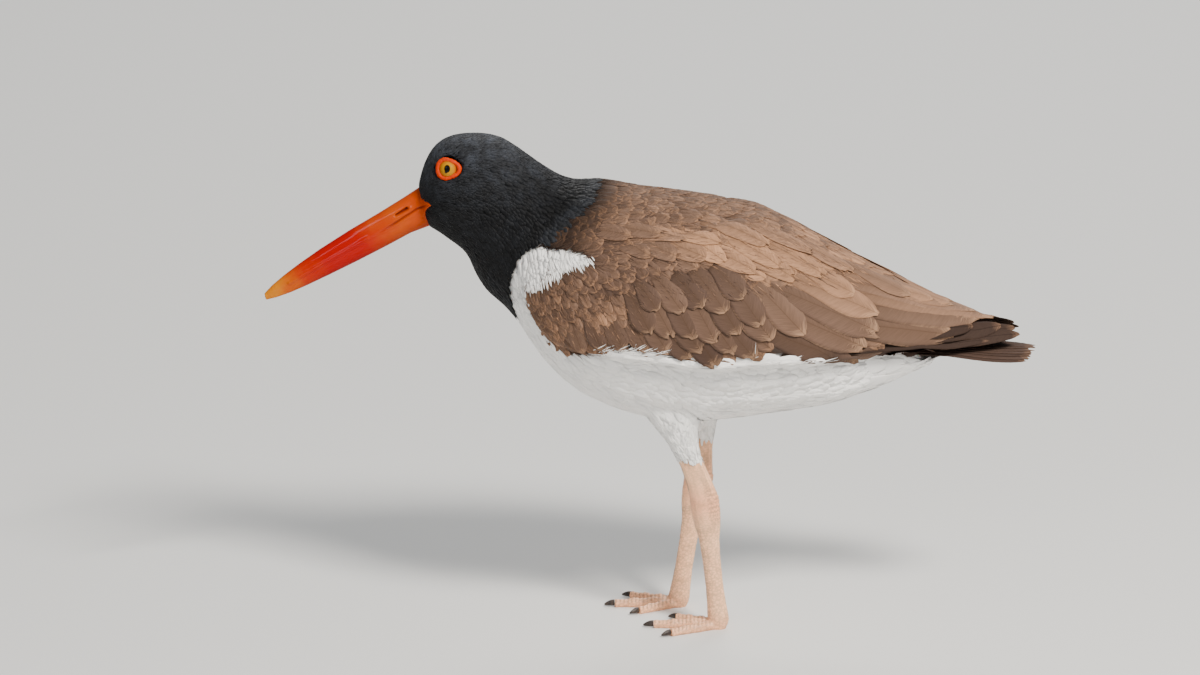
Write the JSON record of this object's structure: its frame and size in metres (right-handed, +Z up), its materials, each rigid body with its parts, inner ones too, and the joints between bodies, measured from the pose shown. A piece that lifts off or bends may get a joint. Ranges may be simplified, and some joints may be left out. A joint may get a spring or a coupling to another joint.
{
  "type": "american oystercatcher model",
  "caption": "Still life-size model of a wading oystercatcher with a long blade-like bill, folded wings and bare legs, standing level on its feet.",
  "frame": {"origin": "on the floor, below the middle of the bird's length and width", "axes": "+Z up, the bill points to -X and the tail to +X, the bird's left side is to -Y"},
  "size_m": [0.3754, 0.1054, 0.2448],
  "materials": {
    "black_plumage": "soft matt feathers, sooty black with a faint blue-grey bloom",
    "white_plumage": "soft matt feathers, white",
    "brown_plumage": "satin feather vanes, warm brown with paler worn fringes",
    "dark_brown_plumage": "satin flight feathers, blackish brown",
    "bill": "waxy horn, orange at the base, red in the middle, yellower at the worn tip",
    "bare_skin": "smooth orange-red bare skin",
    "eye": "wet gloss, yellow iris and black pupil",
    "leg": "finely scaled skin, pale flesh pink",
    "claw": "satin horn, blackish"
  },
  "bodies": {
    "root": {"head": "black_plumage", "neck": "black_plumage", "trunk": "white_plumage", "tail": "dark_brown_plumage", "bill_upper": "bill", "bill_lower": "bill", "wing_left": "brown_plumage", "primaries_left": "dark_brown_plumage", "eye_left": "eye", "eye_ring_left": "bare_skin", "thigh_left": "white_plumage", "shin_left": "leg", "shank_left": "leg", "toe_inner_left": "leg", "claw_inner_left": "claw", "toe_middle_left": "leg", "claw_middle_left": "claw", "toe_outer_left": "leg", "claw_outer_left": "claw", "wing_right": "brown_plumage", "primaries_right": "dark_brown_plumage", "eye_right": "eye", "eye_ring_right": "bare_skin", "thigh_right": "white_plumage", "shin_right": "leg", "shank_right": "leg", "toe_inner_right": "leg", "claw_inner_right": "claw", "toe_middle_right": "leg", "claw_middle_right": "claw", "toe_outer_right": "leg", "claw_outer_right": "claw"}
  },
  "joints": []
}
